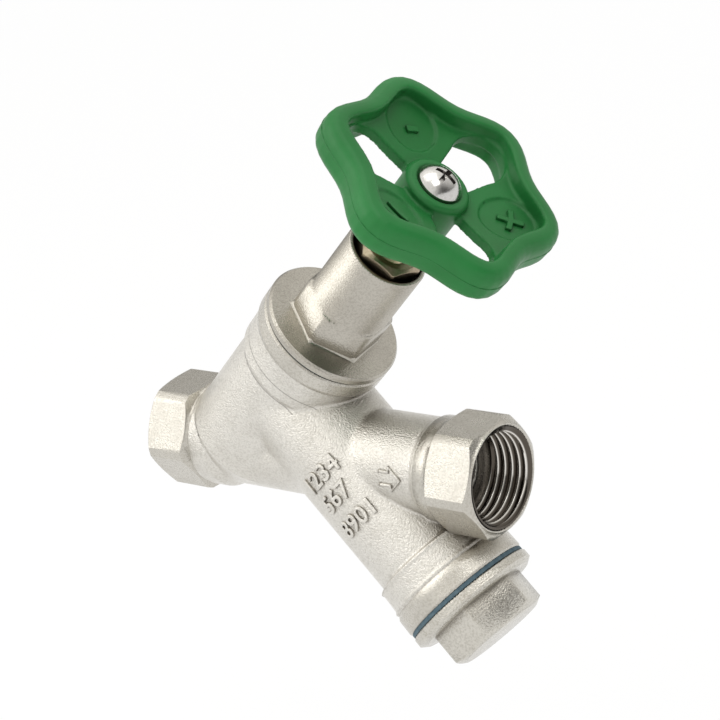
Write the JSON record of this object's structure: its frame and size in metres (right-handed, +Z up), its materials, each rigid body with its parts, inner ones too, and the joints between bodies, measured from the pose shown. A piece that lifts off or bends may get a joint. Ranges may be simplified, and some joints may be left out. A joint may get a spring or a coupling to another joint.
{
  "type": "oblique stop valve with y strainer",
  "caption": "Oblique-seat stop valve and Y strainer in one threaded body, with a lobed handwheel, non-rising stem, lifting disc and screwed strainer cap.",
  "frame": {"origin": "centre of the inlet end face, on the pipe axis", "axes": "+X along the pipe from inlet to outlet, +Z up in the plane of both branches; the valve branch leans up and the strainer branch down towards the outlet"},
  "size_m": [0.0988, 0.0518, 0.1219],
  "materials": {
    "nickel_casting": "nickel-plated brass casting, fine blasted grain",
    "nickel_turned": "nickel-plated turned brass, satin",
    "bare_brass": "turned brass",
    "green_plastic": "moulded green plastic, satin",
    "stainless": "polished stainless steel",
    "fibre_gasket": "blue-grey fibre gasket, matt",
    "black_rubber": "black rubber",
    "white_polymer": "white thrust washer plastic"
  },
  "bodies": {
    "body": {"valve_body": "nickel_casting", "valve_seat": "bare_brass", "bonnet": "nickel_turned", "bonnet_gasket": "fibre_gasket", "gland_nut": "bare_brass", "gland_ring": "bare_brass", "stem_o_rings": "black_rubber", "thrust_washer": "white_polymer"},
    "wheel": {"stem": "bare_brass", "handwheel": "green_plastic", "handwheel_screw": "stainless"},
    "disc": {"disc_carrier": "bare_brass", "seat_disc": "black_rubber", "disc_washer": "stainless", "disc_screw": "stainless"},
    "strainer": {"strainer_screen": "stainless", "screen_top_ring": "bare_brass", "screen_base_ring": "bare_brass"},
    "gasket": {"cap_gasket": "fibre_gasket"},
    "cap": {"strainer_cap": "nickel_turned"}
  },
  "joints": [
    {"name": "handwheel_turn", "type": "hinge", "parent": "body", "child": "wheel", "pos_m": [0.0196, 0, 0], "axis": [0.7071, 0, 0.7071], "range_deg": [0, 1728]},
    {"name": "disc_lift", "type": "slide", "parent": "body", "child": "disc", "axis": [0.7071, 0, 0.7071], "range_m": [0, 0.012]},
    {"name": "strainer_draw", "type": "slide", "parent": "body", "child": "strainer", "axis": [0.7071, 0, -0.7071], "range_m": [0, 0.045]},
    {"name": "cap_advance", "type": "slide", "parent": "strainer", "child": "gasket", "axis": [0.7071, 0, -0.7071], "range_m": [0, 0.0075]},
    {"name": "cap_turn", "type": "hinge", "parent": "gasket", "child": "cap", "pos_m": [0.0483, 0, 0], "axis": [0.7071, 0, -0.7071], "range_deg": [0, 1800]}
  ],
  "couplings": [
    {"joint": "disc_lift", "follows": "handwheel_turn", "m_per_rad": 0.00039788},
    {"joint": "cap_advance", "follows": "cap_turn", "m_per_rad": 0.00023873}
  ]
}
